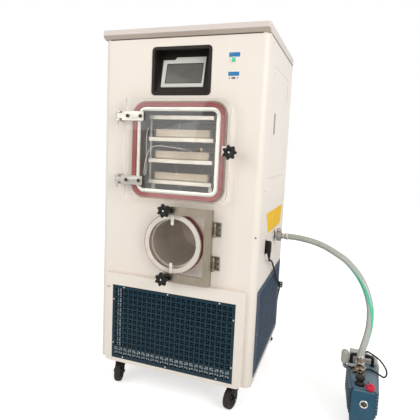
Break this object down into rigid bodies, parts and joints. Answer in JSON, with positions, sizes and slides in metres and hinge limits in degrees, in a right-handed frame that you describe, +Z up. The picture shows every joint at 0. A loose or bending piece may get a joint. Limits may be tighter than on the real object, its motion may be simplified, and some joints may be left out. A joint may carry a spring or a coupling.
{
  "type": "freeze dryer",
  "caption": "Pilot freeze dryer on casters: clear-doored drying chamber with heated shelves over a cold trap, and a vacuum pump joined by a hose.",
  "frame": {"origin": "on the floor, under the middle of the machine's box with its pump and without its cords", "axes": "+X to the machine's right as seen from the front, +Y back, +Z up"},
  "size_m": [1.3487, 0.9875, 1.706],
  "materials": {
    "cream_paint": "satin powder coat",
    "cap_paint": "satin powder coat",
    "frame_paint": "satin powder coat",
    "blue_paint": "fine textured powder coat",
    "teal_paint": "satin enamel",
    "steel": "brushed",
    "vessel_steel": "satin",
    "chrome": "polished",
    "aluminium": "cast",
    "copper_fins": "finned",
    "clear_acrylic": "polished",
    "red_silicone": "matt",
    "black_plastic": "matt",
    "bezel_plastic": "matt",
    "grey_plastic": "satin",
    "green_plastic": "gloss, lit",
    "red_plastic": "gloss",
    "black_rubber": "matt",
    "tyre": "matt",
    "hose": "ribbed, translucent",
    "white_silicone": "satin"
  },
  "bodies": {
    "machine": {"base_frame": "frame_paint", "front_panel": "cream_paint", "left_side_panel": "cream_paint", "right_side_panel": "cream_paint", "right_access_panel": "cream_paint", "right_side_grille": "blue_paint", "rear_panel": "cream_paint", "top_cap": "cap_paint", "plinth_frame": "cream_paint", "front_grille": "blue_paint", "drying_chamber": "vessel_steel", "chamber_gasket": "red_silicone", "shelf_rack": "steel", "tray_upper": "steel", "tray_middle": "steel", "tray_lower": "steel", "cold_trap_pot": "vessel_steel", "trap_gasket": "red_silicone", "door_hinge_block_upper": "steel", "door_hinge_block_lower": "steel", "trap_hinge_upper": "steel", "trap_hinge_lower": "steel", "hmi_bezel": "bezel_plastic", "hmi_panel": "grey_plastic", "compressor": "black_plastic", "condenser_coil": "copper_fins", "vacuum_port": "chrome", "mains_connector": "black_plastic", "mains_lead": "black_rubber", "mains_lead_coil": "black_rubber", "mains_plug": "black_rubber", "vacuum_hose": "hose", "pump_inlet": "chrome", "pump_oil_case": "teal_paint", "pump_motor": "aluminium", "pump_handle": "black_plastic", "pump_exhaust_filter": "grey_plastic", "pump_lead": "black_rubber", "probe_lead": "white_silicone"},
    "door": {"door_plate": "clear_acrylic", "door_strap_upper": "steel", "door_strap_lower": "steel", "door_lug": "steel"},
    "door_knob": {"door_knob": "black_plastic"},
    "trap_door": {"trap_bracket": "steel", "trap_disc": "clear_acrylic"},
    "trap_knob_upper": {"trap_knob_upper": "black_plastic"},
    "trap_knob_lower": {"trap_knob_lower": "black_plastic"},
    "start_button": {"start_button": "green_plastic"},
    "condenser_fan": {"condenser_fan": "black_plastic"},
    "pump_ballast_knob": {"pump_ballast_knob": "black_plastic"},
    "pump_oil_cap": {"pump_oil_cap": "red_plastic"},
    "swivel_front_left": {"caster_fork_front_left": "black_plastic"},
    "wheel_front_left": {"caster_wheel_front_left": "tyre"},
    "swivel_front_right": {"caster_fork_front_right": "black_plastic"},
    "wheel_front_right": {"caster_wheel_front_right": "tyre"},
    "swivel_rear_left": {"caster_fork_rear_left": "black_plastic"},
    "wheel_rear_left": {"caster_wheel_rear_left": "tyre"},
    "swivel_rear_right": {"caster_fork_rear_right": "black_plastic"},
    "wheel_rear_right": {"caster_wheel_rear_right": "tyre"}
  },
  "joints": [
    {"name": "door_hinge", "type": "hinge", "parent": "machine", "child": "door", "pos_m": [-0.557, -0.352, 1.175], "axis": [0, 0, 1], "range_deg": [-110, 0]},
    {"name": "door_knob_turn", "type": "hinge", "parent": "door", "child": "door_knob", "pos_m": [-0.013, -0.387, 1.175], "axis": [0, -1, 0], "range_deg": [0, 1080]},
    {"name": "trap_hinge", "type": "hinge", "parent": "machine", "child": "trap_door", "pos_m": [-0.075, -0.338, 0.755], "axis": [0, 0, 1], "range_deg": [0, 110]},
    {"name": "trap_knob_upper_turn", "type": "hinge", "parent": "trap_door", "child": "trap_knob_upper", "pos_m": [-0.29, -0.406, 0.909], "axis": [0, -1, 0], "range_deg": [0, 1080]},
    {"name": "trap_knob_lower_turn", "type": "hinge", "parent": "trap_door", "child": "trap_knob_lower", "pos_m": [-0.29, -0.406, 0.601], "axis": [0, -1, 0], "range_deg": [0, 1080]},
    {"name": "start_button_press", "type": "slide", "parent": "machine", "child": "start_button", "axis": [0, 1, 0], "range_m": [0, 0.003], "stiffness_N_per_m": 600},
    {"name": "condenser_fan_spin", "type": "hinge", "parent": "machine", "child": "condenser_fan", "pos_m": [-0.13, -0.121, 0.30915], "axis": [0, 1, 0], "continuous": true},
    {"name": "ballast_knob_turn", "type": "hinge", "parent": "machine", "child": "pump_ballast_knob", "pos_m": [0.568, -0.215, 0.22], "axis": [0, 0, 1], "range_deg": [0, 180]},
    {"name": "oil_cap_turn", "type": "hinge", "parent": "machine", "child": "pump_oil_cap", "pos_m": [0.609, -0.244, 0.22], "axis": [0, 0, 1], "range_deg": [0, 1080]},
    {"name": "swivel_front_left_turn", "type": "hinge", "parent": "machine", "child": "swivel_front_left", "pos_m": [-0.57, -0.242, 0.11], "axis": [0, 0, 1], "continuous": true},
    {"name": "wheel_front_left_roll", "type": "hinge", "parent": "swivel_front_left", "child": "wheel_front_left", "pos_m": [-0.56032, -0.28081, 0.05], "axis": [0.9703, 0.2419, 0], "continuous": true},
    {"name": "swivel_front_right_turn", "type": "hinge", "parent": "machine", "child": "swivel_front_right", "pos_m": [0.03, -0.242, 0.11], "axis": [0, 0, 1], "continuous": true},
    {"name": "wheel_front_right_roll", "type": "hinge", "parent": "swivel_front_right", "child": "wheel_front_right", "pos_m": [0.021, -0.28097, 0.05], "axis": [0.9744, -0.225, 0], "continuous": true},
    {"name": "swivel_rear_left_turn", "type": "hinge", "parent": "machine", "child": "swivel_rear_left", "pos_m": [-0.57, 0.338, 0.11], "axis": [0, 0, 1], "continuous": true},
    {"name": "wheel_rear_left_roll", "type": "hinge", "parent": "swivel_rear_left", "child": "wheel_rear_left", "pos_m": [-0.57, 0.298, 0.05], "axis": [1, 0, 0], "continuous": true},
    {"name": "swivel_rear_right_turn", "type": "hinge", "parent": "machine", "child": "swivel_rear_right", "pos_m": [0.03, 0.338, 0.11], "axis": [0, 0, 1], "continuous": true},
    {"name": "wheel_rear_right_roll", "type": "hinge", "parent": "swivel_rear_right", "child": "wheel_rear_right", "pos_m": [0.03, 0.298, 0.05], "axis": [1, 0, 0], "continuous": true}
  ]
}
